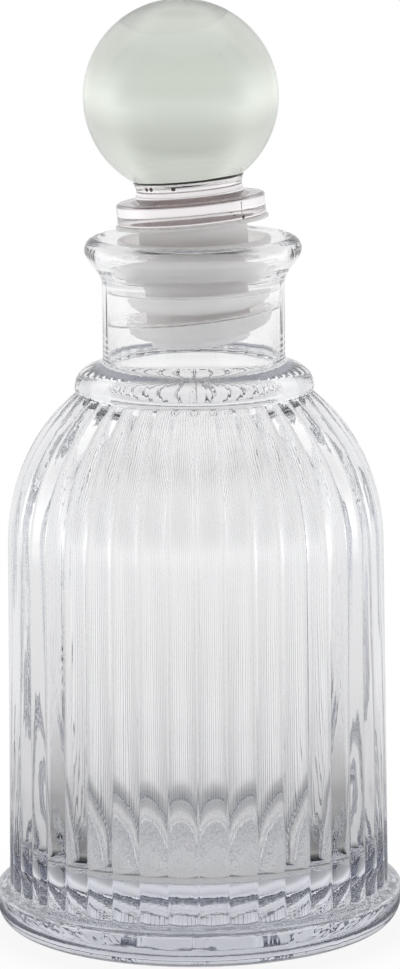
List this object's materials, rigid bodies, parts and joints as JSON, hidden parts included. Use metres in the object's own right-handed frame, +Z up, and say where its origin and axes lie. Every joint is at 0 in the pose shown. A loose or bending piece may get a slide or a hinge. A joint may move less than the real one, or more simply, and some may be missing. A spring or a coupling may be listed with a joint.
{
  "type": "ribbed glass bottle with ball stopper",
  "caption": "Round clear glass bottle with convex vertical ribs, a domed shoulder, a rolled lip and a lift-out stopper: a glass ball on a clear disc, sealed by a finned plastic sleeve.",
  "frame": {"origin": "centre of the bottle's base, on the surface it stands on", "axes": "+Z up along the bottle's axis; -Y towards the viewer, so +X is the viewer's right; the stopper rests tipped towards -X and slightly +Y"},
  "size_m": [0.074, 0.074, 0.1686],
  "materials": {
    "bottle_glass": "clear, fire-polished moulded glass",
    "ball_glass": "clear glass with a faint grey-green cast, fine specks",
    "clear_plastic": "clear moulded plastic, faintly pink",
    "bond": "clear set adhesive with a few bubbles",
    "sleeve_plastic": "milky translucent polyethylene"
  },
  "bodies": {
    "bottle": {"bottle": "bottle_glass"},
    "sleeve": {"sleeve": "sleeve_plastic"},
    "knob": {"stopper_base": "clear_plastic", "bond_film": "bond", "ball": "ball_glass"}
  },
  "joints": [
    {"name": "stopper_lift", "type": "slide", "parent": "bottle", "child": "sleeve", "axis": [0, 0, 1], "range_m": [-0.003, 0.045]},
    {"name": "stopper_twist", "type": "hinge", "parent": "sleeve", "child": "knob", "pos_m": [0, 0, 0.128], "axis": [-0.0819, 0.0262, 0.9963], "continuous": true}
  ]
}
